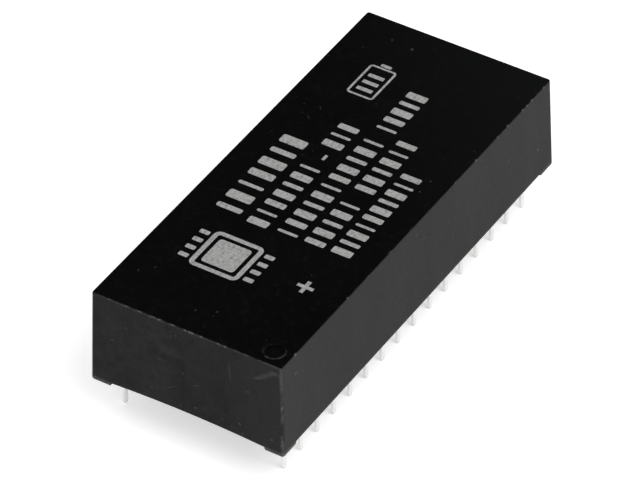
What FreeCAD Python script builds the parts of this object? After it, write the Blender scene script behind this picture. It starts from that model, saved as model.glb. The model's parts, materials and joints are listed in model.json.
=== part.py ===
"""Potted memory module in a 32-pin dual in-line outline.

The row frame has +X along the length, +Y across the width and +Z up, with the origin on the ground
midway between the pin tips. Pin one stands at the -X end of the -Y side. Heights inside the case are
measured from the plane of its four corner feet.
"""
import FreeCAD, Part
import math
import os
from types import SimpleNamespace

import Sketcher

SIZES = {
    # Terminals
    "pins_per_row": 16,
    "pin_pitch": 2.54,
    "row_spacing": 15.24,
    "pin_length": 3.65,
    "pin_width": 0.46,
    "pin_thickness": 0.25,
    "pin_tip_width": 0.3,
    "pin_tip_taper": 0.3,
    "pin_shoulder_width": 1.1,
    "pin_shoulder_height": 0.5,
    "pin_tail": 0.45,
    "slot_clearance": 0.2,
    # Case
    "end_margin": 2.48,
    "side_margin": 1.605,
    "case_height": 9.25,
    "case_draft": 1.57,
    "corner_radius": 0.25,
    "top_edge_radius": 0.08,
    "bottom_edge_radius": 0.25,
    "wall_thickness": 0.8,
    "roof_thickness": 1.0,
    "cavity_corner_radius": 0.5,
    "foot_length": 1.9,
    "foot_width": 1.8,
    "foot_height": 0.42,
    "foot_blend": 0.15,
    "rim_arch": 0.25,
    "mark_diameter": 1.65,
    "mark_depth": 0.1,
    "mark_inset": 1.86,
    "potting_recess": 0.25,
    # Circuit board
    "board_thickness": 0.8,
    "board_clearance": 0.12,
    "board_cover": 0.4,
    # Surface-mount packages
    "lead_pitch": 1.27,
    "lead_width": 0.4,
    "lead_thickness": 0.15,
    "lead_foot": 0.45,
    "package_standoff": 0.1,
    "memory_end": 0.95,
    "memory_width": 10.16,
    "memory_height": 1.0,
    "memory_span": 11.76,
    "memory_leads_per_side": 16,
    "memory_gap": 2.0,
    "controller_end": 0.545,
    "controller_width": 3.9,
    "controller_height": 1.45,
    "controller_span": 6.0,
    "controller_leads_per_side": 4,
    # Coin cell and its tabs
    "cell_diameter": 12.5,
    "cell_height": 2.5,
    "cell_cap_diameter": 10.2,
    "cell_cap_rise": 0.25,
    "cell_crimp": 0.35,
    "cell_edge_bevel": 0.3,
    "cell_end_gap": 1.5,
    "tab_thickness": 0.2,
    "tab_width": 3.0,
    "tab_overlap": 4.0,
    "tab_reach": 1.2,
    "tab_gap": 0.25,
    "tab_bend_radius": 0.25,
    # Decoupling capacitor
    "capacitor_length": 2.0,
    "capacitor_width": 1.25,
    "capacitor_height": 0.85,
    "capacitor_bevel": 0.1,
    "capacitor_gap": 1.2,
}

TINY = 1e-4


class Measure:
    """A length with its present value and the formula that ties it to the sheet."""

    def __init__(self, value, formula):
        self.value = value
        self.formula = formula

    def join(self, sign, other, value):
        return Measure(value, f"({self.formula} {sign} {other.formula})")

    def __add__(self, other):
        other = measure(other)
        return self.join("+", other, self.value + other.value)

    def __sub__(self, other):
        other = measure(other)
        return self.join("-", other, self.value - other.value)

    def __mul__(self, other):
        other = measure(other)
        return self.join("*", other, self.value * other.value)

    def __truediv__(self, other):
        other = measure(other)
        return self.join("/", other, self.value / other.value)

    def __neg__(self):
        return Measure(-self.value, f"(-{self.formula})")


def measure(amount):
    """Takes a plain number as a measure of its own."""
    return amount if isinstance(amount, Measure) else Measure(amount, repr(amount))


def tangent(angle):
    """The tangent of a measure in degrees."""
    return Measure(math.tan(math.radians(angle.value)), f"tan({angle.formula})")


def make_sizes(doc):
    """Puts the driving dimensions in the sheet and works out what follows from them."""
    sheet = doc.addObject("Spreadsheet::Sheet", "Sizes")
    size = SimpleNamespace()
    for row, (alias, value) in enumerate(SIZES.items(), start=1):
        sheet.set(f"A{row}", str(value))
        sheet.setAlias(f"A{row}", alias)
        setattr(size, alias, Measure(value, f"Sizes.{alias}"))
    doc.recompute()

    size.row_length = (size.pins_per_row - 1) * size.pin_pitch
    size.case_length = size.row_length + size.end_margin * 2
    size.case_width = size.row_spacing + size.side_margin * 2
    size.inner_length = size.case_length - size.wall_thickness * 2
    size.inner_width = size.case_width - size.wall_thickness * 2
    size.ceiling = size.case_height - size.roof_thickness
    size.potting_level = size.foot_height + size.rim_arch + size.potting_recess
    size.controller_drop = size.package_standoff + size.controller_height
    size.board_level = size.potting_level + size.board_cover + size.controller_drop
    size.board_top = size.board_level + size.board_thickness
    size.memory_length = size.lead_pitch * (size.memory_leads_per_side - 1) + size.memory_end * 2
    size.controller_length = size.lead_pitch * (size.controller_leads_per_side - 1) + size.controller_end * 2
    narrowing = size.board_top * tangent(size.case_draft) * 2
    size.board_length = size.inner_length - size.board_clearance * 2 - narrowing
    size.board_width = size.inner_width - size.board_clearance * 2 - narrowing
    size.cell_x = size.cell_end_gap + size.cell_diameter / 2 - size.board_length / 2
    size.cell_level = size.board_top + size.tab_thickness
    size.memory_x = size.cell_x + size.cell_diameter / 2 + size.memory_gap + size.memory_length / 2
    return size


def bind(thing, name, amount):
    """Ties a property to the sheet."""
    thing.setExpression(name, measure(amount).formula)


def add_body(doc, name, level):
    """Starts a piece whose local ground stands at a level above the pin tips."""
    body = doc.addObject("PartDesign::Body", name)
    body.Label = name
    bind(body, "Placement.Base.z", level)
    return body


def add_sketch(body, name, role, offset=None):
    """Adds a sketch on one of the body's own planes, moved along the plane's normal."""
    sketch = body.newObject("Sketcher::SketchObject", name)
    plane = next(item for item in body.Origin.OriginFeatures if item.Role == role)
    sketch.AttachmentSupport = [(plane, "")]
    sketch.MapMode = "FlatFace"
    if offset is not None:
        bind(sketch, "AttachmentOffset.Base.z", offset)
    return sketch


def hold_point(sketch, item, point, x, y):
    """Holds a point of the sketch at x and y from its origin."""
    for kind, amount in (("DistanceX", measure(x)), ("DistanceY", measure(y))):
        spot = sketch.addConstraint(Sketcher.Constraint(kind, -1, 1, item, point, amount.value))
        sketch.setExpression(f"Constraints[{spot}]", amount.formula)


def draw_chain(sketch, corners):
    """Draws straight lines from corner to corner and returns the numbers of the first and the last."""
    first = sketch.GeometryCount
    spots = [FreeCAD.Vector(measure(x).value, measure(y).value, 0) for x, y in corners]
    for start, end in zip(spots, spots[1:]):
        sketch.addGeometry(Part.LineSegment(start, end), False)
    last = sketch.GeometryCount - 1
    for item, (x, y) in enumerate(corners[:-1], start=first):
        hold_point(sketch, item, 1, x, y)
    hold_point(sketch, last, 2, *corners[-1])
    for item in range(first, last):
        sketch.addConstraint(Sketcher.Constraint("Coincident", item, 2, item + 1, 1))
    return first, last


def draw_outline(sketch, corners):
    """Draws a closed outline of straight lines."""
    first, last = draw_chain(sketch, corners)
    start, end = (FreeCAD.Vector(measure(x).value, measure(y).value, 0) for x, y in (corners[-1], corners[0]))
    closing = sketch.addGeometry(Part.LineSegment(start, end), False)
    sketch.addConstraint(Sketcher.Constraint("Coincident", last, 2, closing, 1))
    sketch.addConstraint(Sketcher.Constraint("Coincident", closing, 2, first, 1))


def draw_rectangle(sketch, low_x, high_x, low_y, high_y):
    return draw_outline(sketch, [(low_x, low_y), (high_x, low_y), (high_x, high_y), (low_x, high_y)])


def draw_centred_rectangle(sketch, length, width):
    return draw_rectangle(sketch, -length / 2, length / 2, -width / 2, width / 2)


def draw_circle(sketch, x, y, diameter):
    centre = FreeCAD.Vector(measure(x).value, measure(y).value, 0)
    circle = Part.Circle(centre, FreeCAD.Vector(0, 0, 1), diameter.value / 2)
    item = sketch.addGeometry(circle, False)
    hold_point(sketch, item, 3, x, y)
    spot = sketch.addConstraint(Sketcher.Constraint("Diameter", item, diameter.value))
    sketch.setExpression(f"Constraints[{spot}]", diameter.formula)


def extrude(body, kind, name, sketch, length, symmetric=False, upward=True):
    """Pads or pockets a sketch."""
    feature = body.newObject(f"PartDesign::{kind}", name)
    feature.Profile = sketch
    feature.SideType = "Symmetric" if symmetric else "One side"
    feature.Reversed = upward == (kind == "Pocket")
    bind(feature, "Length", length)
    body.Document.recompute()
    return feature


def dress_edges(body, kind, name, amount, chosen):
    """Rounds or bevels the edges of the body's newest feature that the test picks."""
    base = body.Tip
    names = [f"Edge{n}" for n, edge in enumerate(base.Shape.Edges, start=1) if chosen(edge.BoundBox)]
    feature = body.newObject(f"PartDesign::{kind}", name)
    feature.Base = (base, names)
    bind(feature, "Radius" if kind == "Fillet" else "Size", amount)
    body.Document.recompute()
    return feature


def repeat_along_x(body, name, feature, pitch, count):
    """Repeats a feature in equal steps towards +X."""
    pattern = body.newObject("PartDesign::LinearPattern", name)
    pattern.Originals = [feature]
    axis = next(item for item in body.Origin.OriginFeatures if item.Role == "X_Axis")
    pattern.Direction = (axis, [""])
    pattern.Mode = "Spacing"
    bind(pattern, "Offset", pitch)
    bind(pattern, "Occurrences", count)
    body.Tip = pattern
    body.Document.recompute()
    return pattern


def upright(box):
    """Picks edges that stand straight up."""
    return box.XLength < TINY and box.YLength < TINY


def on_level(level):
    """Picks edges that lie flat at a height."""
    return lambda box: abs(box.ZMin - level.value) < TINY and abs(box.ZMax - level.value) < TINY


def make_drafted(body, kind, name, sketch, reach, height, radius, draft):
    """Pads or pockets a centred rectangle, leans its sides inward as they rise and rounds its corners.

    The sides hinge at the body's ground plane. The reach holds the rectangle's half length and half width.
    """
    straight = extrude(body, kind, name, sketch, height)

    def within(box):
        inside_x = max(abs(box.XMin), abs(box.XMax)) < reach[0].value + TINY
        inside_y = max(abs(box.YMin), abs(box.YMax)) < reach[1].value + TINY
        return inside_x and inside_y and box.ZLength > height.value / 2

    names = [f"Face{n}" for n, face in enumerate(straight.Shape.Faces, start=1) if within(face.BoundBox)]
    leaning = body.newObject("PartDesign::Draft", f"{name}_draft")
    leaning.Base = (straight, names)
    plane = next(item for item in body.Origin.OriginFeatures if item.Role == "XY_Plane")
    leaning.NeutralPlane = (plane, [""])
    leaning.Reversed = kind == "Pocket"
    bind(leaning, "Angle", draft)
    body.Document.recompute()
    return dress_edges(body, "Fillet", f"{name}_corners", radius, within)


def make_case_shell(doc, size):
    """The moulded case: a drafted block, its cavity, the rims between the feet and the pin-one mark."""
    body = add_body(doc, "case_shell", size.pin_length)
    outline = add_sketch(body, "case_outline", "XY_Plane")
    draw_centred_rectangle(outline, size.case_length, size.case_width)
    reach = (size.case_length / 2, size.case_width / 2)
    make_drafted(body, "Pad", "block", outline, reach, size.case_height, size.corner_radius, size.case_draft)
    dress_edges(body, "Fillet", "case_top_edge", size.top_edge_radius, on_level(size.case_height))
    dress_edges(body, "Fillet", "case_bottom_edge", size.bottom_edge_radius, on_level(measure(0)))

    mouth = add_sketch(body, "cavity_outline", "XY_Plane")
    draw_centred_rectangle(mouth, size.inner_length, size.inner_width)
    reach = (size.inner_length / 2, size.inner_width / 2)
    make_drafted(body, "Pocket", "cavity", mouth, reach, size.ceiling, size.cavity_corner_radius, size.case_draft)

    mark = add_sketch(body, "mark_outline", "XY_Plane", size.case_height)
    mark_x = size.mark_inset - size.case_length / 2
    mark_y = size.mark_inset - size.case_width / 2
    draw_circle(mark, mark_x, mark_y, size.mark_diameter)
    extrude(body, "Pocket", "mark_recess", mark, size.mark_depth, upward=False)
    cut_long_rims(body, size)
    cut_short_rims(body, size)
    return body


def cut_long_rims(body, size):
    """Raises the rims of both long sides between the feet."""
    sketch = add_sketch(body, "long_rim_outline", "XZ_Plane")
    half = size.case_length / 2 - size.foot_length
    draw_rectangle(sketch, -half, half, 0, size.foot_height)
    extrude(body, "Pocket", "long_rims", sketch, size.case_width * 2, symmetric=True)
    reach = half.value

    def foot_root(box):
        level = on_level(size.foot_height)(box)
        return level and abs(abs(box.XMin) - reach) < TINY and box.XLength < TINY

    dress_edges(body, "Fillet", "long_rim_blends", size.foot_blend, foot_root)


def cut_short_rims(body, size):
    """Raises the rims of both short ends between the feet, in a shallow arch."""
    sketch = add_sketch(body, "short_rim_outline", "YZ_Plane")
    half = size.case_width / 2 - size.foot_width
    top = size.foot_height
    first, last = draw_chain(sketch, [(-half, top), (-half, 0), (half, 0), (half, top)])
    rise = size.rim_arch
    radius = (half * half + rise * rise) / (rise * 2)
    centre = top + rise - radius
    spread = math.asin(half.value / radius.value)
    circle = Part.Circle(FreeCAD.Vector(0, centre.value, 0), FreeCAD.Vector(0, 0, 1), radius.value)
    arc = sketch.addGeometry(Part.ArcOfCircle(circle, math.pi / 2 - spread, math.pi / 2 + spread), False)
    sketch.addConstraint(Sketcher.Constraint("Coincident", arc, 2, first, 1))
    sketch.addConstraint(Sketcher.Constraint("Coincident", arc, 1, last, 2))
    spot = sketch.addConstraint(Sketcher.Constraint("Radius", arc, radius.value))
    sketch.setExpression(f"Constraints[{spot}]", radius.formula)
    extrude(body, "Pocket", "short_rims", sketch, size.case_length * 2, symmetric=True)
    reach = half.value

    def foot_root(box):
        level = on_level(size.foot_height)(box)
        return level and abs(abs(box.YMin) - reach) < TINY and box.YLength < TINY

    dress_edges(body, "Fillet", "short_rim_blends", size.foot_blend, foot_root)


def make_pin(doc, size, number):
    """One flat terminal: a tapered tip, a straight leg, a shoulder under the board and a tail through it."""
    body = add_body(doc, f"pin_{number:02d}", 0)
    board = size.pin_length + size.board_level
    shoulder = board - size.pin_shoulder_height
    tail_top = board + size.board_thickness + size.pin_tail
    right = [
        (size.pin_tip_width / 2, 0),
        (size.pin_width / 2, size.pin_tip_taper),
        (size.pin_width / 2, shoulder),
        (size.pin_shoulder_width / 2, shoulder),
        (size.pin_shoulder_width / 2, board),
        (size.pin_width / 2, board),
        (size.pin_width / 2, tail_top),
    ]
    left = [(-x, z) for x, z in reversed(right)]
    sketch = add_sketch(body, f"pin_profile_{number:02d}", "XZ_Plane")
    draw_outline(sketch, right + left)
    extrude(body, "Pad", f"pin_blank_{number:02d}", sketch, size.pin_thickness, symmetric=True)

    row_count = SIZES["pins_per_row"]
    near_row = number <= row_count
    steps = number - 1 if near_row else 2 * row_count - number
    bind(body, "Placement.Base.x", size.pin_pitch * steps - size.row_length / 2)
    bind(body, "Placement.Base.y", -size.row_spacing / 2 if near_row else size.row_spacing / 2)
    return body


def make_circuit_board(doc, size):
    """The board that the pins are soldered into, with a row of plated slots along each long edge."""
    body = add_body(doc, "circuit_board", size.pin_length + size.board_level)
    outline = add_sketch(body, "board_outline", "XY_Plane")
    draw_centred_rectangle(outline, size.board_length, size.board_width)
    extrude(body, "Pad", "board_blank", outline, size.board_thickness)
    dress_edges(body, "Fillet", "board_corners", size.cavity_corner_radius, upright)
    slots = add_sketch(body, "board_slots", "XY_Plane")
    middle = -size.row_length / 2
    reach_x = (size.pin_width + size.slot_clearance) / 2
    reach_y = (size.pin_thickness + size.slot_clearance) / 2
    for row in (-size.row_spacing / 2, size.row_spacing / 2):
        draw_rectangle(slots, middle - reach_x, middle + reach_x, row - reach_y, row + reach_y)
    first = extrude(body, "Pocket", "first_slots", slots, size.board_thickness)
    repeat_along_x(body, "slot_rows", first, size.pin_pitch, size.pins_per_row)
    return body


def make_package(doc, size, name, chip):
    """A surface-mount package with bent leads, standing on a board at its local ground."""
    body = add_body(doc, name, size.pin_length + chip.level)
    outline = add_sketch(body, f"{name}_outline", "XY_Plane", size.package_standoff)
    draw_centred_rectangle(outline, chip.length, chip.width)
    extrude(body, "Pad", f"{name}_moulding", outline, chip.height)

    middle = size.package_standoff + chip.height / 2
    over = middle + size.lead_thickness / 2
    under = middle - size.lead_thickness / 2
    knee = chip.span / 2 - size.lead_foot
    root = chip.width / 2 - size.lead_foot
    lead = [
        (root, over),
        (knee, over),
        (knee, size.lead_thickness),
        (chip.span / 2, size.lead_thickness),
        (chip.span / 2, 0),
        (knee - size.lead_thickness, 0),
        (knee - size.lead_thickness, under),
        (root, under),
    ]
    first_lead = -size.lead_pitch * (chip.leads - 1) / 2
    sketch = add_sketch(body, f"{name}_lead_profile", "YZ_Plane", first_lead)
    draw_outline(sketch, lead)
    draw_outline(sketch, [(-y, z) for y, z in reversed(lead)])
    pair = extrude(body, "Pad", f"{name}_lead_pair", sketch, size.lead_width, symmetric=True)
    repeat_along_x(body, f"{name}_leads", pair, size.lead_pitch, chip.leads)
    return body


def make_memory_chip(doc, size):
    chip = SimpleNamespace(
        length=size.memory_length,
        width=size.memory_width,
        height=size.memory_height,
        span=size.memory_span,
        leads=size.memory_leads_per_side,
        level=size.board_top,
    )
    body = make_package(doc, size, "memory_chip", chip)
    bind(body, "Placement.Base.x", size.memory_x)
    return body


def make_controller_chip(doc, size):
    """The eight-lead chip hangs upside down from the board's underside."""
    chip = SimpleNamespace(
        length=size.controller_length,
        width=size.controller_width,
        height=size.controller_height,
        span=size.controller_span,
        leads=size.controller_leads_per_side,
        level=size.board_level,
    )
    body = make_package(doc, size, "controller_chip", chip)
    body.Placement.Rotation = FreeCAD.Rotation(FreeCAD.Vector(1, 0, 0), 180)
    bind(body, "Placement.Base.x", size.cell_x)
    return body


def make_lithium_cell(doc, size):
    """The sealed coin cell lies cap down, turned as one profile about its own axis."""
    body = add_body(doc, "lithium_cell", size.pin_length + size.cell_level)
    bind(body, "Placement.Base.x", size.cell_x)
    cap = size.cell_cap_diameter / 2
    can = size.cell_diameter / 2
    bevel = size.cell_edge_bevel
    profile = [
        (0, 0),
        (cap, 0),
        (cap, size.cell_cap_rise),
        (can - size.cell_crimp, size.cell_cap_rise),
        (can, size.cell_cap_rise + size.cell_crimp),
        (can, size.cell_height - bevel),
        (can - bevel, size.cell_height),
        (0, size.cell_height),
    ]
    sketch = add_sketch(body, "cell_profile", "XZ_Plane")
    draw_outline(sketch, profile)
    turned = body.newObject("PartDesign::Revolution", "cell_turned")
    turned.Profile = sketch
    turned.ReferenceAxis = (sketch, ["V_Axis"])
    turned.Angle = 360
    doc.recompute()
    return body


def make_negative_tab(doc, size):
    """A flat strip on the board under the cell's cap."""
    body = add_body(doc, "cell_tab_negative", size.pin_length + size.board_top)
    bind(body, "Placement.Base.x", size.cell_x)
    sketch = add_sketch(body, "negative_strip", "XY_Plane")
    far_end = size.cell_diameter / 2 + size.tab_reach
    near_end = size.cell_cap_diameter / 2 - size.tab_overlap
    draw_rectangle(sketch, near_end, far_end, -size.tab_width / 2, size.tab_width / 2)
    extrude(body, "Pad", "negative_blank", sketch, size.tab_thickness)
    return body


def make_positive_tab(doc, size):
    """A strip that lies on the can, bends down past its edge and turns out along the board."""
    body = add_body(doc, "cell_tab_positive", size.pin_length + size.board_top)
    bind(body, "Placement.Base.x", size.cell_x)
    can = size.cell_diameter / 2
    thick = size.tab_thickness
    can_face = size.tab_thickness + size.cell_height
    inner = -can - size.tab_gap
    outer = inner - thick
    profile = [
        (size.tab_overlap - can, can_face),
        (size.tab_overlap - can, can_face + thick),
        (outer, can_face + thick),
        (outer, thick),
        (-can - size.tab_reach, thick),
        (-can - size.tab_reach, 0),
        (inner, 0),
        (inner, can_face),
    ]
    sketch = add_sketch(body, "positive_profile", "XZ_Plane")
    draw_outline(sketch, profile)
    extrude(body, "Pad", "positive_strip", sketch, size.tab_width, symmetric=True)

    def outer_bend(box):
        top = abs(box.ZMin - (can_face + thick).value) < TINY and abs(box.XMax - outer.value) < TINY
        foot = abs(box.ZMax) < TINY and abs(box.XMin - inner.value) < TINY
        return (top or foot) and box.XLength < TINY and box.ZLength < TINY

    dress_edges(body, "Fillet", "positive_bends", size.tab_bend_radius, outer_bend)
    return body


def make_capacitor(doc, size):
    """The small ceramic capacitor hangs from the board's underside beside the controller."""
    body = add_body(doc, "decoupling_capacitor", size.pin_length + size.board_level - size.capacitor_height)
    spot = size.cell_x + size.controller_length / 2 + size.capacitor_gap + size.capacitor_width / 2
    bind(body, "Placement.Base.x", spot)
    sketch = add_sketch(body, "capacitor_outline", "XY_Plane")
    draw_centred_rectangle(sketch, size.capacitor_width, size.capacitor_length)
    extrude(body, "Pad", "capacitor_block", sketch, size.capacitor_height)
    dress_edges(body, "Chamfer", "capacitor_corners", size.capacitor_bevel, upright)
    return body


def make_potting(doc, size, embedded):
    """The epoxy that fills the case round everything inside it, up to its level at the open side."""
    body = add_body(doc, "potting_block", size.pin_length)
    sketch = add_sketch(body, "potting_outline", "XY_Plane", size.potting_level)
    draw_centred_rectangle(sketch, size.inner_length, size.inner_width)
    reach = (size.inner_length / 2, size.inner_width / 2)
    depth = size.ceiling - size.potting_level
    make_drafted(body, "Pad", "fill", sketch, reach, depth, size.cavity_corner_radius, size.case_draft)

    inside = doc.addObject("Part::MultiFuse", "embedded_pieces")
    inside.Shapes = embedded
    potting = doc.addObject("Part::Cut", "potting")
    potting.Label = "potting"
    potting.Base = body
    potting.Tool = inside
    doc.recompute()
    return potting


def check_document(doc, pieces):
    """Stops if any object failed or any piece isn't one sound solid."""
    failed = [item.Name for item in doc.Objects if {"Invalid", "Error"} & set(item.State)]
    if failed:
        raise RuntimeError(f"these objects failed: {failed}")
    for piece in pieces:
        shape = piece.Shape
        if shape.isNull() or not shape.isValid() or len(shape.Solids) != 1:
            raise RuntimeError(f"{piece.Label} isn't one sound solid")


def main():
    doc = FreeCAD.newDocument("potted_module")
    size = make_sizes(doc)
    pins = [make_pin(doc, size, number) for number in range(1, 2 * SIZES["pins_per_row"] + 1)]
    inner = [
        make_circuit_board(doc, size),
        make_memory_chip(doc, size),
        make_controller_chip(doc, size),
        make_lithium_cell(doc, size),
        make_negative_tab(doc, size),
        make_positive_tab(doc, size),
        make_capacitor(doc, size),
    ]
    potting = make_potting(doc, size, inner + pins)
    pieces = [make_case_shell(doc, size), potting] + inner + pins
    doc.recompute()
    check_document(doc, pieces)
    os.makedirs("parts", exist_ok=True)
    for piece in pieces:
        piece.Shape.exportStep(f"parts/{piece.Label}.step")
    print(f"{len(pieces)} pieces")


main()
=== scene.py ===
"""The looks of the potted memory module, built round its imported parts."""

import json
import math

import bmesh
import bpy
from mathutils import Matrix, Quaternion, Vector


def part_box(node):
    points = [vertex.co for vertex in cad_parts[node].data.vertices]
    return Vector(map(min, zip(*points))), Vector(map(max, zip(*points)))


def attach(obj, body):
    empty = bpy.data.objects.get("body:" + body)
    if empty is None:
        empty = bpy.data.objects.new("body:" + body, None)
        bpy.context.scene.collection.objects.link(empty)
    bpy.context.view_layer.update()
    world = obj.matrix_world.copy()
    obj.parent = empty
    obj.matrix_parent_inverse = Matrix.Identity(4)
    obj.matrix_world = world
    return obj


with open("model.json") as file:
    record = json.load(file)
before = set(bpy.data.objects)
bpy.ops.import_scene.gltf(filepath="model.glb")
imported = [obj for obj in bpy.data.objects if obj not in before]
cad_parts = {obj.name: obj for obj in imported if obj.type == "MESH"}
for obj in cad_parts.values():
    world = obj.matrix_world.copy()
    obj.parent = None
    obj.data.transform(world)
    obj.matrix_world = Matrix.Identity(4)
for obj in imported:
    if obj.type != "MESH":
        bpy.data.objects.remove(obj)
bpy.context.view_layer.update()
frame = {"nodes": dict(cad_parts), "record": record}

MM = 0.001

# The photograph's camera: its place and clipping in metres, its lens and sensor in millimetres
CAMERA_PLACE = Vector((-0.28906, -0.18135, 0.29838))
CAMERA_LOOK = Vector((0.64336, 0.40512, -0.64959))
CAMERA_ROLL = math.radians(-0.66)
CAMERA_LENS = 305.61
SENSOR_WIDTH = 36.0
CAMERA_CLIP = (0.01, 10.0)

# The case, as packed, and how its walls lean in
case_low, case_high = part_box("case_shell")
TOP = case_high.z
FEET = case_low.z
HALF_LENGTH = case_high.x
HALF_WIDTH = case_high.y
DRAFT_SLOPE = math.tan(math.radians(1.57))

# The epoxy, whose open face looks down between the feet, and the pins that stand in it. All but the face's
# height is in millimetres
potting_low, potting_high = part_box("potting")
POTTING_FACE = potting_low.z
POTTING_HALF = (potting_high.x / MM, potting_high.y / MM)
POTTING_CORNER = 0.5
PIN_HALF = (0.23, 0.125)
# How the epoxy crept as it set, in millimetres: out from what it clings to, and down from its face
WALL_CREEP = [(0.0, 0.16), (0.05, 0.09), (0.14, 0.03), (0.34, 0.0)]
PIN_CREEP = [(0.30, 0.0), (0.12, 0.04), (0.04, 0.12), (0.01, 0.24)]

# The pin-one mark, and its lip with a painted highlight as shares of the mark's radius
MARK_INSET = 1.86 * MM
MARK_RADIUS = 0.825 * MM
LIP_MIDDLE = 1.10
LIP_HALF_WIDTH = 0.18
LIP_LIT_SIDE = (-0.85, -0.5)

# How far wear and painted edge highlights reach in from the case's edges, and painted floor light up from
# the feet: to nothing, then to full where there are two values
TOP_EDGE_REACH = 0.14 * MM
END_FACE_REACH = 0.16 * MM
SIDE_FACE_REACH = 0.18 * MM
CORNER_REACH = (0.22 * MM, 0.15 * MM)
FEET_REACH = (0.60 * MM, 0.30 * MM)
# How near a face its own marks keep to it
FACE_REACH = (0.15 * MM, 0.05 * MM)
# How far a surface faces up where the top's smooth finish starts and where it is full
TOP_FACING = (0.80, 0.97)
# Where the painted light on pin one's end and side starts and where it is strongest, in millimetres
END_LIT_REACH = (-3.0, -8.5)
SIDE_LIT_REACH = (-12.0, -21.0)
# The soft painted sheen on the top: where it starts, where it is full, and how much it slants across the
# case
SHEEN_REACH = (6 * MM, 34 * MM)
SHEEN_SLANT = 1.2

# Marks, each in its face's millimetres: middle across, middle up, length, width, tilt in degrees, strength.
# Scuffs and rubbed spots on pin one's end, across the case and up from the feet
END_SCUFFS = [
    (-7.5, 7.94, 3.0, 0.5, -35, 0.9),
    (-8.3, 8.5, 1.2, 0.55, 0, 0.9),
    (-6.9, 7.4, 1.6, 0.25, -25, 0.6),
    (-4.15, 6.8, 2.4, 0.35, 84, 0.5),
    (2.45, 5.15, 1.7, 0.16, -8, 0.7),
    (1.5, 2.65, 1.8, 0.16, -35, 0.6),
    (-1.1, 3.97, 1.1, 0.16, -19, 0.6),
    (1.48, 6.5, 2.6, 1.4, 0, 0.2),
]
END_SPECKS = [
    (7.07, 5.12, 0.35, 0.26, 0, 0.6),
    (-5.84, 5.51, 0.35, 0.22, 0, 0.7),
    (-5.07, 1.79, 0.4, 0.26, 30, 1.0),
    (-3.42, 1.52, 0.3, 0.22, 0, 0.6),
    (0.27, 4.66, 0.3, 0.2, 0, 0.6),
    (-8.09, 1.5, 0.45, 0.28, -20, 0.7),
    (-0.89, 1.55, 0.35, 0.26, 0, 0.9),
    (5.67, 6.94, 0.3, 0.22, 15, 0.6),
    (3.32, 1.9, 0.3, 0.22, 0, 0.6),
    (0.55, 1.2, 0.3, 0.2, 0, 0.5),
    (-5.35, 0.86, 0.4, 0.2, 0, 0.7),
]
# Chips along the edges of pin one's end, where the black skin has gone, mixed with painted highlights on
# its top edge and near corner
END_CHIPS_AND_HIGHLIGHTS = [
    (7.3, 9.24, 0.5, 0.10, 0, 0.4),
    (5.6, 9.24, 0.7, 0.10, 0, 0.5),
    (4.5, 9.23, 0.9, 0.11, 0, 0.6),
    (3.2, 9.22, 0.8, 0.15, -5, 0.9),
    (2.4, 9.21, 0.7, 0.15, 5, 1.0),
    (1.2, 9.24, 0.6, 0.09, 0, 0.4),
    (0.1, 9.22, 0.5, 0.13, 0, 0.8),
    (-0.5, 9.21, 0.8, 0.16, 5, 1.0),
    (-1.44, 9.22, 0.4, 0.13, 0, 0.6),
    (-3.1, 9.22, 0.5, 0.13, 0, 0.7),
    (-3.6, 9.21, 0.6, 0.15, -5, 0.9),
    (-5.7, 9.24, 0.6, 0.09, 0, 0.4),
    (-7.0, 9.24, 0.5, 0.10, 0, 0.5),
    (-9.02, 8.0, 0.5, 0.22, 90, 0.5),
    (-9.03, 7.3, 0.35, 0.20, 90, 0.4),
    (-9.08, 5.13, 0.7, 0.28, 90, 1.0),
    (-9.05, 1.6, 2.0, 0.40, 90, 0.35),
]
# A darker band that runs up pin one's end
END_BAND = (0.28, 3.6, 5.5, 0.7, 90, 0.5)
# Specks, and chips mixed with painted highlights on its top edge, along the side by pin one's row, along
# the case and up from the feet
SIDE_SPECKS = [
    (-19.2, 7.3, 0.4, 0.28, 0, 1.0),
    (19.04, 3.3, 0.4, 0.26, 0, 1.0),
    (14.27, 5.5, 0.35, 0.24, 0, 0.7),
    (-9.66, 0.95, 0.3, 0.2, 0, 0.7),
    (3.18, 1.3, 0.3, 0.2, 0, 0.6),
    (0.51, 7.0, 0.4, 0.22, 60, 0.7),
    (-0.56, 8.05, 0.35, 0.22, 30, 0.7),
    (14.63, 8.7, 0.3, 0.22, 0, 0.6),
    (5.1, 3.9, 0.3, 0.2, 0, 0.4),
    (10.6, 6.6, 0.3, 0.2, 0, 0.4),
]
SIDE_CHIPS_AND_HIGHLIGHTS = [
    (-19.15, 9.17, 0.5, 0.24, 0, 1.0),
    (-11.23, 9.2, 0.4, 0.14, 0, 0.6),
    (-8.16, 9.18, 0.5, 0.14, 0, 0.7),
    (5.69, 9.2, 0.4, 0.13, 0, 0.6),
    (8.92, 9.18, 0.4, 0.18, 0, 0.9),
    (12.5, 9.18, 0.4, 0.16, 0, 0.8),
    (14.14, 9.2, 0.5, 0.14, 0, 0.8),
    (16.62, 9.17, 0.5, 0.2, 0, 1.0),
    (17.28, 9.18, 0.35, 0.16, 0, 0.9),
    (18.11, 9.19, 0.5, 0.16, 0, 1.0),
    (20.1, 9.19, 0.6, 0.14, 0, 0.8),
]
# Specks and short streaks on the top, along the case and across it
TOP_SPECKS = [
    (18.74, 3.07, 0.4, 0.3, 0, 1.0),
    (18.96, 5.17, 0.3, 0.24, 0, 0.7),
    (6.56, 5.79, 0.7, 0.12, 40, 0.5),
    (8.08, 5.56, 0.6, 0.12, 40, 0.5),
    (-17.05, 7.22, 0.35, 0.2, 0, 0.5),
    (-16.03, 6.26, 0.3, 0.2, 0, 0.5),
    (-18.06, -0.93, 0.35, 0.22, 0, 0.6),
    (-18.78, 0.66, 0.3, 0.2, 0, 0.6),
]

# How thick the print is, and how far print and skins of epoxy key into what they lie on
INK_THICKNESS = 0.012 * MM
SKIN_KEY = 0.003 * MM

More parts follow.
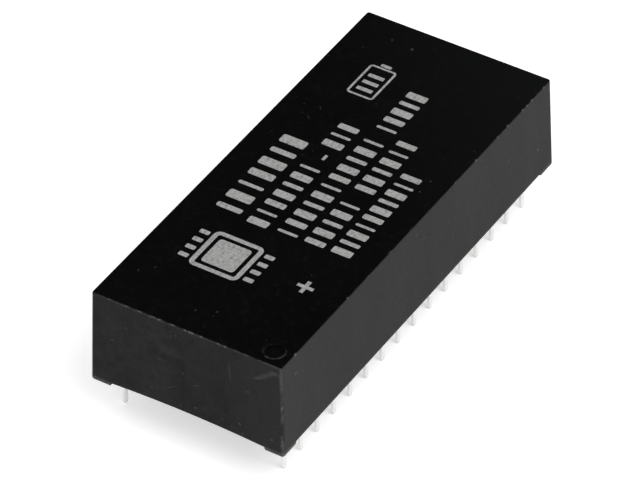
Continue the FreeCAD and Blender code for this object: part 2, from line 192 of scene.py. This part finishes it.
# Each line of print in millimetres: its middle across the case, its height, and where its groups run
PRINT_LINES = [
    (5.13, 2.40, [(-7.50, 4.00)]),
    (2.15, 1.90, [(-7.67, 1.60), (3.93, 7.60)]),
    (-0.62, 1.90, [(-7.60, 7.10), (7.90, 14.00)]),
    (-3.15, 1.84, [(-7.43, -0.77), (0.37, 8.17)]),
    (-5.65, 1.84, [(-7.27, 4.67)]),
]
# The blocks' pitch, widths in turn and corner rounding, as shares of a line's height
BLOCK_PITCH = 0.68
BLOCK_WIDTHS = [0.42, 0.24, 0.42, 0.16, 0.34]
BLOCK_ROUND = 0.08

# The signs of the print, in millimetres
DASH_PLACE = (2.75, 1.85)
DASH_HALF = (0.35, 0.14)
DASH_ROUND = 0.08
CHIP_SIGN_PLACE = (-11.9, 2.1)
CHIP_SIGN_SIZE = 4.7
CELL_SIGN_PLACE = (13.2, 3.7)
CELL_SIGN_SIZE = (4.2, 2.6)
PLUS_PLACE = (-11.87, -5.37)
PLUS_SPAN = 1.5
PLUS_STROKE = 0.35
# The smallest rounding that a corner takes, in millimetres
SMALLEST_ROUND = 0.02

# How bright the room is to the part
ROOM_LEVEL = 0.55
# The floor: its half length, how far it lies under the pins, its tone, and how much it is lifted to the eye
FLOOR_REACH = 3.0
FLOOR_GAP = 0.02 * MM
FLOOR_TONE = 0.85
FLOOR_LIFT = 0.54
# The one lamp
KEY_LIGHT_PLACE = (-0.3, -1.0, 1.4)
KEY_LIGHT_SIZE = 1.2
KEY_LIGHT_POWER = 14.0


class Signal:
    """A socket that takes part in arithmetic: an expression on signals adds its Math nodes."""

    def __init__(self, tree, socket):
        self.tree = tree
        self.socket = socket

    def math(self, operation, *others):
        """Adds one Math node."""
        node = self.tree.nodes.new("ShaderNodeMath")
        node.operation = operation
        for slot, value in zip(node.inputs, (self, *others)):
            if isinstance(value, Signal):
                self.tree.links.new(value.socket, slot)
            else:
                slot.default_value = value
        return Signal(self.tree, node.outputs[0])

    def __add__(self, other):
        return self.math("ADD", other)

    def __radd__(self, other):
        return self.math("ADD", other)

    def __mul__(self, other):
        return self.math("MULTIPLY", other)

    def __rmul__(self, other):
        return self.math("MULTIPLY", other)

    def __sub__(self, other):
        return self.math("SUBTRACT", other)

    def __rsub__(self, other):
        return self.math("MULTIPLY", -1.0).math("ADD", other)

    def clamped(self):
        return self.math("MAXIMUM", 0.0).math("MINIMUM", 1.0)

    def ramp(self, low, high):
        """Runs from 0 at low to 1 at high."""
        return ((self - low) * (1.0 / (high - low))).clamped()

    def falloff(self, reach):
        """Runs from 1 at zero to 0 at the reach."""
        return self.ramp(reach, 0.0)


class Shading:
    """The nodes of a material or of the world, and the methods that add to them."""

    def __init__(self, owner):
        owner.use_nodes = True
        self.tree = owner.node_tree

    def node(self, kind, settings=None, numbered=None, **sockets):
        """Adds a node, sets its settings, then the values or links of its sockets, by number or by name."""
        node = self.tree.nodes.new(kind)
        for name, value in (settings or {}).items():
            setattr(node, name, value)
        for number, value in (numbered or {}).items():
            self.feed(node.inputs[number], value)
        for name, value in sockets.items():
            self.feed(node.inputs[name.replace("_", " ")], value)
        return node

    def feed(self, socket, value):
        """Sets a socket to a plain value, or links it to a signal or another socket."""
        if isinstance(value, Signal):
            value = value.socket
        if isinstance(value, bpy.types.NodeSocket):
            self.tree.links.new(value, socket)
        else:
            socket.default_value = value

    def signal(self, socket):
        return Signal(self.tree, socket)

    def seen_directly(self):
        """1 for what the camera sees straight, in a reflection or through glass."""
        rays = self.node("ShaderNodeLightPath").outputs
        straight, mirrored = self.signal(rays["Is Camera Ray"]), self.signal(rays["Is Glossy Ray"])
        return (straight + mirrored + self.signal(rays["Is Transmission Ray"])).math("MINIMUM", 1.0)


class Finish(Shading):
    """A material with one Principled shader, and what its patterns are made of."""

    def __init__(self, name):
        self.material = bpy.data.materials.new(name)
        super().__init__(self.material)
        self.shader = self.tree.nodes["Principled BSDF"]
        self.output = self.tree.nodes["Material Output"]
        self.place = self.node("ShaderNodeTexCoord").outputs["Object"]

    def set(self, **sockets):
        """Feeds the Principled shader's sockets."""
        for name, value in sockets.items():
            self.feed(self.shader.inputs[name.replace("_", " ")], value)

    def noise(self, scale, detail=2.0, roughness=0.5, place=None):
        """Soft noise from 0 to 1, with its scale in features to the metre."""
        node = self.node(
            "ShaderNodeTexNoise",
            Vector=place or self.place,
            Scale=scale,
            Detail=detail,
            Roughness=roughness,
        )
        return self.signal(node.outputs["Fac"])

    def dust(self, spacing, radius):
        """Small round grains: 1 inside a grain, 0 outside. Few of them lie where the surface cuts."""
        node = self.node("ShaderNodeTexVoronoi", Vector=self.place, Scale=1.0 / spacing)
        return self.signal(node.outputs["Distance"]).ramp(radius / spacing, radius * 0.6 / spacing)

    def axes(self):
        """The object's coordinates as three signals."""
        return self.parts(self.place)

    def upwards(self):
        """How far the surface faces up: 1 on a level top, 0 on an upright wall."""
        return self.parts(self.node("ShaderNodeNewGeometry").outputs["Normal"])[2]

    def parts(self, vector):
        """A vector's three numbers as signals."""
        node = self.node("ShaderNodeSeparateXYZ", Vector=vector)
        return [self.signal(socket) for socket in node.outputs]

    def stretched(self, x, y, z):
        """The object's coordinates with each axis scaled."""
        return self.node("ShaderNodeMapping", Vector=self.place, Scale=(x, y, z)).outputs["Vector"]

    def blend(self, factor, first, second):
        """Mixes two colours. The Mix node has several sockets of each name, so they go by number."""
        node = self.node("ShaderNodeMix", {"data_type": "RGBA"}, {0: factor, 6: first, 7: second})
        return node.outputs[2]

    def bump(self, height, distance, strength):
        """Raises the surface's look by a signal, as far as the distance in metres."""
        node = self.node("ShaderNodeBump", Height=height, Distance=distance, Strength=strength)
        self.set(Normal=node.outputs["Normal"])


def grey(level, warmth=0.0):
    """A grey in linear light, a little warm or cool."""
    return (level * (1 + warmth), level, level * (1 - warmth), 1.0)


# The tones of the case's sides
SIDE_DARK = grey(0.0030, 0.01)
SIDE_PALE = grey(0.0190, -0.01)
SIDE_CLOUD = grey(0.0170, -0.01)
SIDE_STREAK = grey(0.0020, -0.02)
SIDE_BAND = grey(0.0005)
SIDE_LIT = grey(0.0200)
SIDE_SCUFF = grey(0.054)
SIDE_SPECK = grey(0.065)
SIDE_DUST = grey(0.060)
# The tones of its top, with its painted sheen and the painted highlight on the pin-one mark's lip
TOP_DARK = grey(0.0003)
TOP_PALE = grey(0.0010, -0.06)
TOP_SHEEN = grey(0.0042, -0.06)
TOP_SMUDGE = grey(0.0046)
TOP_LIP_HIGHLIGHT = grey(0.055)
TOP_DUST = grey(0.050)
# Where the black skin has gone, mixed with painted edge highlights and painted floor light along the bottom
WEAR_AND_HIGHLIGHT_TONE = grey(0.13, 0.01)
# The print, where it is thin, thick, missing and brightest
INK_THIN = grey(0.25, 0.01)
INK_THICK = grey(0.44, 0.01)
INK_MISSING = grey(0.05)
INK_BRIGHT = grey(0.46)
# How strongly each mirrors the room
SIDE_SPECULAR = 0.08
TOP_SPECULAR = 0.012
INK_SPECULAR = 0.2
# The epoxy
EPOXY_DARK = grey(0.006)
EPOXY_PALE = grey(0.011)
EPOXY_DUST = grey(0.08)
# The pins' plating
PIN_DARK = grey(0.74, 0.015)
PIN_PALE = grey(0.84, 0.01)
PIN_TIP = grey(0.50, 0.02)
# What the epoxy hides
BOARD_GREEN = (0.02, 0.11, 0.04, 1.0)
CHIP_BLACK = grey(0.012)
STEEL_GREY = grey(0.5)
NICKEL_GREY = grey(0.5, 0.04)
CERAMIC_BROWN = (0.22, 0.13, 0.06, 1.0)
WHITE = grey(1.0)


def case_finish():
    """Black moulded plastic: a near-black smooth top with a painted sheen, fine-grained sides with painted
    light towards the near corner, edges with wear, painted edge highlights and painted floor light at the
    bottom, a painted highlight on the pin-one mark's rim, scuffs and dust.
    """
    finish = Finish("case_plastic_finish")
    x, y, z = finish.axes()
    across, along, rise = y * (1.0 / MM), x * (1.0 / MM), (z - FEET) * (1.0 / MM)
    lean = (z - FEET) * DRAFT_SLOPE
    near_end = (x - lean + HALF_LENGTH).ramp(*FACE_REACH)
    near_side = (y - lean + HALF_WIDTH).ramp(*FACE_REACH)
    top = finish.upwards().ramp(*TOP_FACING)
    grain = finish.noise(5200.0, detail=3.0, roughness=0.65)
    cloud = finish.noise(190.0, detail=5.0, roughness=0.6).ramp(0.3, 0.7)
    patch = finish.noise(1100.0, detail=3.0, roughness=0.6).ramp(0.32, 0.68)
    streak = finish.noise(1.0, detail=3.0, place=finish.stretched(420.0, 420.0, 60.0)).ramp(0.35, 0.75)
    flecks = finish.noise(3800.0, detail=2.0).ramp(0.45, 0.62)
    torn = finish.noise(6000.0, detail=3.0, roughness=0.7).ramp(0.42, 0.56)

    # chips mixed with painted edge highlights, then wear with painted floor light along the bottom
    chips_and_highlights = blots(across, rise, END_CHIPS_AND_HIGHLIGHTS) * near_end + blots(along, rise, SIDE_CHIPS_AND_HIGHLIGHTS) * near_side
    wear_and_highlight = (edge_wear_and_highlight(finish, (x, y, z), flecks) + chips_and_highlights * 1.3 * torn).clamped()
    scuffed = (blots(across, rise, END_SCUFFS) * near_end * (torn * 0.5 + 0.5)).clamped()
    specks = blots(across, rise, END_SPECKS) * near_end + blots(along, rise, SIDE_SPECKS) * near_side
    top_specks = blots(along, across, TOP_SPECKS).clamped()
    band = blots(across, rise, [END_BAND]) * near_end
    # painted light: pin one's end and side lighter towards the case's near corner
    painted_light = across.ramp(*END_LIT_REACH) * near_end + along.ramp(*SIDE_LIT_REACH) * near_side
    dust = finish.dust(1.45 * MM, 0.055 * MM) + finish.dust(3.1 * MM, 0.09 * MM)
    smudge = finish.noise(1500.0, detail=4.0, roughness=0.7).ramp(0.52, 0.72)
    # painted highlight on the rim of the pin-one mark, broken up by noise
    lip_highlight = mark_lip_highlight((x, y), top) * finish.noise(1500.0, detail=3.0).ramp(0.34, 0.58)

    side_tone = finish.blend(patch, SIDE_DARK, SIDE_PALE)
    side_tone = finish.blend(cloud * 0.5, side_tone, SIDE_CLOUD)
    side_tone = finish.blend(streak * 0.45, side_tone, SIDE_STREAK)
    side_tone = finish.blend(band, side_tone, SIDE_BAND)
    # painted light on the near end and side
    side_tone = finish.blend((painted_light * 0.65).clamped(), side_tone, SIDE_LIT)
    side_tone = finish.blend((scuffed + flecks * 0.06).clamped(), side_tone, SIDE_SCUFF)
    side_tone = finish.blend(specks.clamped(), side_tone, SIDE_SPECK)
    # wear, painted edge highlights and painted floor light on the sides
    side_tone = finish.blend(wear_and_highlight, side_tone, WEAR_AND_HIGHLIGHT_TONE)
    side_tone = finish.blend(dust.clamped(), side_tone, SIDE_DUST)
    finish.set(Base_Color=side_tone, Roughness=grain * 0.2 + patch * 0.08 + 0.32)
    finish.shader.inputs["Specular IOR Level"].default_value = SIDE_SPECULAR
    finish.bump(grain, 0.018 * MM, 0.55)

    # painted sheen: the top's colour lighter towards the end away from pin one
    sheen = (x - y * SHEEN_SLANT).ramp(*SHEEN_REACH)
    top_tone = finish.blend(cloud, TOP_DARK, TOP_PALE)
    top_tone = finish.blend(sheen, top_tone, TOP_SHEEN)
    top_tone = finish.blend(smudge * 0.6, top_tone, TOP_SMUDGE)
    # painted highlight on the pin-one mark's rim
    top_tone = finish.blend(lip_highlight, top_tone, TOP_LIP_HIGHLIGHT)
    # wear and painted edge highlights on the top
    top_tone = finish.blend(wear_and_highlight, top_tone, WEAR_AND_HIGHLIGHT_TONE)
    top_tone = finish.blend((dust + top_specks).clamped(), top_tone, TOP_DUST)
    smooth = finish.node("ShaderNodeBsdfPrincipled", Base_Color=top_tone, Roughness=cloud * 0.1 + 0.3)
    smooth.inputs["Specular IOR Level"].default_value = TOP_SPECULAR
    shaders = {0: top, 1: finish.shader.outputs[0], 2: smooth.outputs[0]}
    mix = finish.node("ShaderNodeMixShader", numbered=shaders)
    finish.feed(finish.output.inputs["Surface"], mix.outputs[0])
    return finish.material


def edge_wear_and_highlight(finish, place, flecks):
    """Pale spots along the case's edges: wear where the black skin has rubbed off, mixed with painted edge
    highlights, and painted floor light along the bottom; 1 where pale.
    """
    x, y, z = place
    rise = z - FEET
    from_end = HALF_LENGTH - rise * DRAFT_SLOPE - x.math("ABSOLUTE")
    from_side = HALF_WIDTH - rise * DRAFT_SLOPE - y.math("ABSOLUTE")
    from_top = TOP - z
    rim = from_top.falloff(TOP_EDGE_REACH)
    patches = finish.noise(520.0, detail=4.0, roughness=0.7)
    # wear along the top edges, mixed with painted edge highlight
    end_edge = rim * from_end.falloff(END_FACE_REACH) * (patches.ramp(0.42, 0.66) * 0.4 + 0.12)
    side_edge = rim * from_side.falloff(SIDE_FACE_REACH) * patches.ramp(0.58, 0.72) * 0.5
    # partly wear, partly a painted highlight down the upright corners
    corner = (from_end + from_side).ramp(*CORNER_REACH) * (patches.ramp(0.46, 0.66) * 0.5 + 0.02)
    # painted floor light: the bottom edges of the case lighter, with flecks
    feet = rise.ramp(*FEET_REACH) * (patches.ramp(0.35, 0.60) * 0.45 + 0.45)
    return (end_edge + side_edge + corner + feet * (flecks * 0.6 + 0.6)).clamped()


def blots(across, up, marks):
    """The sum of soft oval marks on one face, from its two signals in millimetres."""
    total = None
    for middle, height, length, width, tilt, strength in marks:
        run, climb = math.cos(math.radians(tilt)), math.sin(math.radians(tilt))
        along = turned(across, up, run * 2 / length, climb * 2 / length, middle, height)
        beside = turned(across, up, -climb * 2 / width, run * 2 / width, middle, height)
        reach = beside.math("MULTIPLY_ADD", beside, along * along)
        mark = reach.math("MULTIPLY_ADD", -strength, strength).math("MAXIMUM", 0.0)
        total = mark if total is None else total + mark
    return total


def turned(across, up, share_across, share_up, middle, height):
    """A straight measure over a face that is zero at the given middle and height."""
    start = -(middle * share_across + height * share_up)
    return across.math("MULTIPLY_ADD", share_across, up.math("MULTIPLY_ADD", share_up, start))


def mark_lip_highlight(place, top):
    """The painted highlight on the rim round the pin-one mark, brightest on the side of the case's near
    corner.
    """
    x, y = place
    over = (x + (HALF_LENGTH - MARK_INSET)) * (1.0 / MARK_RADIUS)
    up = (y + (HALF_WIDTH - MARK_INSET)) * (1.0 / MARK_RADIUS)
    reach = (over * over + up * up).math("SQRT")
    ring = (reach - LIP_MIDDLE).math("ABSOLUTE").falloff(LIP_HALF_WIDTH)
    lit_side = (over * LIP_LIT_SIDE[0] + up * LIP_LIT_SIDE[1]).ramp(-0.3, 1.0)
    return ring * (lit_side * 0.92 + 0.08) * top


def ink_finish():
    """Thin pale print: mottled, with pinholes where it missed the grain of the case."""
    finish = Finish("marking_ink_finish")
    mottle = finish.noise(3400.0, detail=3.0, roughness=0.7)
    patch = finish.noise(700.0, detail=2.0)
    tone = finish.blend(mottle.ramp(0.36, 0.64), INK_THIN, INK_THICK)
    tone = finish.blend(mottle.ramp(0.38, 0.26) * 0.8, tone, INK_MISSING)
    tone = finish.blend(patch.ramp(0.45, 0.75) * 0.35, tone, INK_BRIGHT)
    finish.set(Base_Color=tone, Roughness=mottle * 0.2 + 0.6)
    finish.shader.inputs["Specular IOR Level"].default_value = INK_SPECULAR
    finish.bump(mottle, 0.006 * MM, 0.5)
    return finish.material


def potting_finish():
    """Black cast epoxy: glossy, gently uneven, with a little dust in it."""
    finish = Finish("potting_finish")
    swell = finish.noise(260.0, detail=2.0)
    cloud = finish.noise(900.0, detail=4.0)
    tone = finish.blend(cloud, EPOXY_DARK, EPOXY_PALE)
    tone = finish.blend(finish.dust(2.4 * MM, 0.08 * MM).clamped(), tone, EPOXY_DUST)
    finish.set(Base_Color=tone, Roughness=cloud * 0.18 + 0.14)
    finish.bump(swell, 0.25 * MM, 0.5)
    return finish.material


def pin_finish():
    """Pale tin plating, drawn along the pins, with duller patches and darker sheared tips."""
    finish = Finish("pin_finish")
    height = finish.axes()[2]
    drawn = finish.noise(1.0, detail=3.0, place=finish.stretched(9000.0, 9000.0, 500.0))
    dull = finish.noise(1300.0, detail=3.0)
    tip = height.falloff(0.3 * MM)
    tone = finish.blend(drawn.ramp(0.3, 0.7), PIN_DARK, PIN_PALE)
    tone = finish.blend(tip * 0.5, tone, PIN_TIP)
    finish.set(Base_Color=tone, Roughness=dull * 0.25 + 0.28 + tip * 0.15, Metallic=1.0)
    finish.bump(drawn, 0.01 * MM, 0.4)
    return finish.material


def simple_finish(name, colour, roughness, metallic=0.0, grain=900.0, spread=0.25):
    """A plain finish whose tone and roughness vary a little over the surface."""
    finish = Finish(name)
    cloud = finish.noise(grain, detail=4.0)
    darker = tuple(level * (1 - spread) for level in colour[:3]) + (1.0,)
    finish.set(
        Base_Color=finish.blend(cloud, darker, colour),
        Roughness=cloud * 0.15 + roughness,
        Metallic=metallic,
    )
    return finish.material


def make_finishes():
    """One finish for each of the record's material slots."""
    return {
        "case_plastic": case_finish(),
        "potting_epoxy": potting_finish(),
        "board_laminate": simple_finish("board_finish", BOARD_GREEN, 0.35),
        "chip_package": simple_finish("chip_finish", CHIP_BLACK, 0.5),
        "cell_steel": simple_finish("cell_finish", STEEL_GREY, 0.3, metallic=1.0),
        "tab_nickel": simple_finish("tab_finish", NICKEL_GREY, 0.25, metallic=1.0),
        "capacitor_ceramic": simple_finish("capacitor_finish", CERAMIC_BROWN, 0.5),
        "pin_metal": pin_finish(),
        "marking_ink": ink_finish(),
    }


def dress_nodes():
    """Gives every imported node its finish."""
    for part in frame["record"]["subparts"]:
        node = frame["nodes"][part["node"]]
        for slot in node.material_slots:
            slot.material = finishes[part["material_slot"]]


def add_piece(name, work, slot):
    """Turns a worked mesh into a piece that rides with the module."""
    mesh = bpy.data.meshes.new(name)
    bmesh.ops.recalc_face_normals(work, faces=work.faces)
    work.to_mesh(mesh)
    work.free()
    mesh.materials.append(finishes[slot])
    piece = bpy.data.objects.new(name, mesh)
    bpy.context.scene.collection.objects.link(piece)
    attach(piece, "root")
    return piece


def rounded_outline(low, high, radius, steps=5):
    """The points of a rectangle with rounded corners, anticlockwise, in millimetres."""
    corners = ((high[0], high[1], 0), (low[0], high[1], 90), (low[0], low[1], 180), (high[0], low[1], 270))
    points = []
    for x, y, start in corners:
        middle_x = x - math.copysign(radius, x - (low[0] + high[0]) / 2)
        middle_y = y - math.copysign(radius, y - (low[1] + high[1]) / 2)
        for step in range(steps + 1):
            turn = math.radians(start + 90 * step / steps)
            points.append((middle_x + radius * math.cos(turn), middle_y + radius * math.sin(turn)))
    return points


def place_ring(work, points, height):
    """Puts an outline in millimetres at a height in metres."""
    return [work.verts.new((x * MM, y * MM, height)) for x, y in points]


def join_rings(work, first, second):
    """Skins two rings of equal count with quads."""
    count = len(first)
    for n in range(count):
        work.faces.new((first[n], first[(n + 1) % count], second[(n + 1) % count], second[n]))


def print_solid(work, outline):
    """Solid print on the top face, inside one outline."""
    foot = place_ring(work, outline, TOP - SKIN_KEY)
    crest = place_ring(work, outline, TOP + INK_THICKNESS)
    join_rings(work, foot, crest)
    work.faces.new(crest)
    work.faces.new(foot)


def print_block(work, low, high, radius):
    """A solid rounded block of print."""
    print_solid(work, rounded_outline(low, high, radius))


def print_frame(work, low, high, radius, stroke):
    """A rounded frame of print: the outer edge, and the inner one a stroke further in."""
    inner_low = (low[0] + stroke, low[1] + stroke)
    inner_high = (high[0] - stroke, high[1] - stroke)
    outer = rounded_outline(low, high, radius)
    inner = rounded_outline(inner_low, inner_high, max(radius - stroke, SMALLEST_ROUND))
    rings = [
        place_ring(work, outer, TOP - SKIN_KEY),
        place_ring(work, outer, TOP + INK_THICKNESS),
        place_ring(work, inner, TOP + INK_THICKNESS),
        place_ring(work, inner, TOP - SKIN_KEY),
    ]
    for first, second in zip(rings, rings[1:] + rings[:1]):
        join_rings(work, first, second)


def add_print_lines():
    """Rows of plain blocks where a module has its marking."""
    for number, (middle, height, groups) in enumerate(PRINT_LINES, start=1):
        work = bmesh.new()
        for start, end in groups:
            count = max(2, round((end - start) / (height * BLOCK_PITCH)))
            pitch = (end - start) / count
            for n in range(count):
                centre = start + (n + 0.5) * pitch
                half = height * BLOCK_WIDTHS[(n + number) % len(BLOCK_WIDTHS)] / 2
                low = (centre - half, middle - height / 2)
                high = (centre + half, middle + height / 2)
                print_block(work, low, high, height * BLOCK_ROUND)
        add_piece(f"marking_line_{number}", work, "marking_ink")


def add_dash():
    """The short dash between the two groups of the second line."""
    x, y = DASH_PLACE
    half_length, half_width = DASH_HALF
    work = bmesh.new()
    print_block(work, (x - half_length, y - half_width), (x + half_length, y + half_width), DASH_ROUND)
    add_piece("marking_dash", work, "marking_ink")


def add_chip_sign():
    """A plain picture of a chip: a block inside a frame, with four leads on each of two sides."""
    x, y = CHIP_SIGN_PLACE
    half = CHIP_SIGN_SIZE / 2
    stroke, frame_round = 0.42, 0.6
    core_gap, core_round = 0.38, 0.3
    lead_gap, lead_length, lead_half, lead_round = 0.3, 0.9, 0.24, 0.12
    lead_pitch = CHIP_SIGN_SIZE / 4.4
    work = bmesh.new()
    print_frame(work, (x - half, y - half), (x + half, y + half), frame_round, stroke)
    core = half - stroke - core_gap
    print_block(work, (x - core, y - core), (x + core, y + core), core_round)
    for side in (-1, 1):
        near = y + side * (half + lead_gap)
        far = near + side * lead_length
        for n in range(4):
            lead_x = x + (n - 1.5) * lead_pitch
            low = (lead_x - lead_half, min(near, far))
            high = (lead_x + lead_half, max(near, far))
            print_block(work, low, high, lead_round)
    add_piece("marking_chip_sign", work, "marking_ink")


def add_cell_sign():
    """A plain picture of a battery in thin lines, for the cell inside."""
    x, y = CELL_SIGN_PLACE
    length, width = CELL_SIGN_SIZE
    stroke, frame_round = 0.2, 0.35
    cap_gap, cap_length, cap_half, cap_round = 0.12, 0.35, 0.5, 0.12
    bar_inset, bar_pitch, bar_width, bar_gap, bar_round = 0.75, 0.95, 0.42, 0.55, 0.08
    low, high = (x - length / 2, y - width / 2), (x + length / 2, y + width / 2)
    work = bmesh.new()
    print_frame(work, low, high, frame_round, stroke)
    cap = high[0] + cap_gap
    print_block(work, (cap, y - cap_half), (cap + cap_length, y + cap_half), cap_round)
    for n in range(3):
        bar = low[0] + bar_inset + n * bar_pitch
        print_block(work, (bar, low[1] + bar_gap), (bar + bar_width, high[1] - bar_gap), bar_round)
    add_piece("marking_cell_sign", work, "marking_ink")


def add_plus_sign():
    """A plus with four arms, as one outline."""
    x, y = PLUS_PLACE
    arm, half = PLUS_SPAN / 2, PLUS_STROKE / 2
    quarter = [(arm, -half), (arm, half), (half, half)]
    outline = []
    for turn in range(4):
        for a, b in quarter:
            for _ in range(turn):
                a, b = -b, a
            outline.append((x + a, y + b))
    work = bmesh.new()
    print_solid(work, outline)
    add_piece("marking_plus", work, "marking_ink")


def add_wall_creep():
    """The low ridge where the epoxy climbed the walls of the case."""
    length, width = POTTING_HALF
    buried = -SKIN_KEY / MM
    steps = [(WALL_CREEP[0][0], buried)] + WALL_CREEP + [(WALL_CREEP[-1][0], buried)]
    work = bmesh.new()
    rings = []
    for out, down in steps:
        far_x, far_y = length - out, width - out
        outline = rounded_outline((-far_x, -far_y), (far_x, far_y), POTTING_CORNER - out)
        rings.append(place_ring(work, outline, POTTING_FACE - down * MM))
    for first, second in zip(rings, rings[1:] + rings[:1]):
        join_rings(work, first, second)
    add_piece("potting_ridge", work, "potting_epoxy")


def add_pin_creep():
    """A small cone of epoxy round the foot of every pin."""
    half_width, half_depth = PIN_HALF
    pins = [name for name in sorted(frame["nodes"]) if name.startswith("pin_")]
    buried = -SKIN_KEY / MM
    steps = [(PIN_CREEP[0][0], buried)] + PIN_CREEP
    work = bmesh.new()
    for pin in pins:
        pin_low, pin_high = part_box(pin)
        x, y = ((pin_low + pin_high) / 2 / MM).xy
        rings = []
        for out, down in steps:
            wide, deep = half_width + out, half_depth + out
            low, high = (x - wide, y - deep), (x + wide, y + deep)
            outline = rounded_outline(low, high, out + SMALLEST_ROUND, steps=3)
            rings.append(place_ring(work, outline, POTTING_FACE - down * MM))
        for first, second in zip(rings, rings[1:]):
            join_rings(work, first, second)
        work.faces.new(rings[0])
        work.faces.new(rings[-1])
    add_piece("potting_cones", work, "potting_epoxy")


def add_camera():
    """The photograph's camera."""
    data = bpy.data.cameras.new("camera")
    data.lens = CAMERA_LENS
    data.sensor_width = SENSOR_WIDTH
    data.clip_start, data.clip_end = CAMERA_CLIP
    camera = bpy.data.objects.new("camera", data)
    camera.location = CAMERA_PLACE
    turn = CAMERA_LOOK.to_track_quat("-Z", "Y")
    camera.rotation_mode = "QUATERNION"
    camera.rotation_quaternion = turn @ Quaternion((0, 0, 1), CAMERA_ROLL)
    bpy.context.scene.collection.objects.link(camera)
    bpy.context.scene.camera = camera


def add_floor():
    """A large pale floor that shows white but keeps the shadow, and can't be seen from below."""
    mesh = bpy.data.meshes.new("floor")
    work = bmesh.new()
    bmesh.ops.create_grid(work, x_segments=1, y_segments=1, size=FLOOR_REACH)
    work.to_mesh(mesh)
    work.free()
    floor = bpy.data.objects.new("floor", mesh)
    floor.location.z = -FLOOR_GAP
    bpy.context.scene.collection.objects.link(floor)
    mesh.materials.append(floor_finish())


def floor_finish():
    """Pale paper that is lifted to the eye, and clear from behind."""
    material = bpy.data.materials.new("floor_finish")
    shading = Shading(material)
    shading.tree.nodes.clear()
    paper = shading.node("ShaderNodeBsdfDiffuse", Color=grey(FLOOR_TONE))
    glow = shading.node("ShaderNodeEmission", Strength=shading.seen_directly() * FLOOR_LIFT)
    lifted = shading.node("ShaderNodeAddShader", numbered={0: paper.outputs[0], 1: glow.outputs[0]})
    clear = shading.node("ShaderNodeBsdfTransparent")
    behind = shading.node("ShaderNodeNewGeometry").outputs["Backfacing"]
    sides = {0: behind, 1: lifted.outputs[0], 2: clear.outputs[0]}
    mix = shading.node("ShaderNodeMixShader", numbered=sides)
    shading.node("ShaderNodeOutputMaterial", Surface=mix.outputs[0])
    return material


def set_world():
    """A soft grey room that shows as plain white."""
    world = bpy.data.worlds.new("room")
    bpy.context.scene.world = world
    shading = Shading(world)
    back = shading.tree.nodes["Background"]
    shading.feed(back.inputs["Color"], WHITE)
    shading.feed(back.inputs["Strength"], shading.seen_directly() * (1.0 - ROOM_LEVEL) + ROOM_LEVEL)


def add_light(name, place, size, power):
    """A soft square lamp that faces the part and doesn't show."""
    data = bpy.data.lights.new(name, "AREA")
    data.shape = "SQUARE"
    data.size = size
    data.energy = power
    lamp = bpy.data.objects.new(name, data)
    lamp.location = place
    lamp.rotation_euler = (-Vector(place)).to_track_quat("-Z", "Y").to_euler()
    lamp.visible_camera = False
    bpy.context.scene.collection.objects.link(lamp)


bpy.context.scene.view_settings.view_transform = "Standard"
add_camera()
add_floor()
set_world()
add_light("key_light", KEY_LIGHT_PLACE, KEY_LIGHT_SIZE, KEY_LIGHT_POWER)
finishes = make_finishes()
dress_nodes()
add_print_lines()
add_dash()
add_chip_sign()
add_cell_sign()
add_plus_sign()
add_wall_creep()
add_pin_creep()
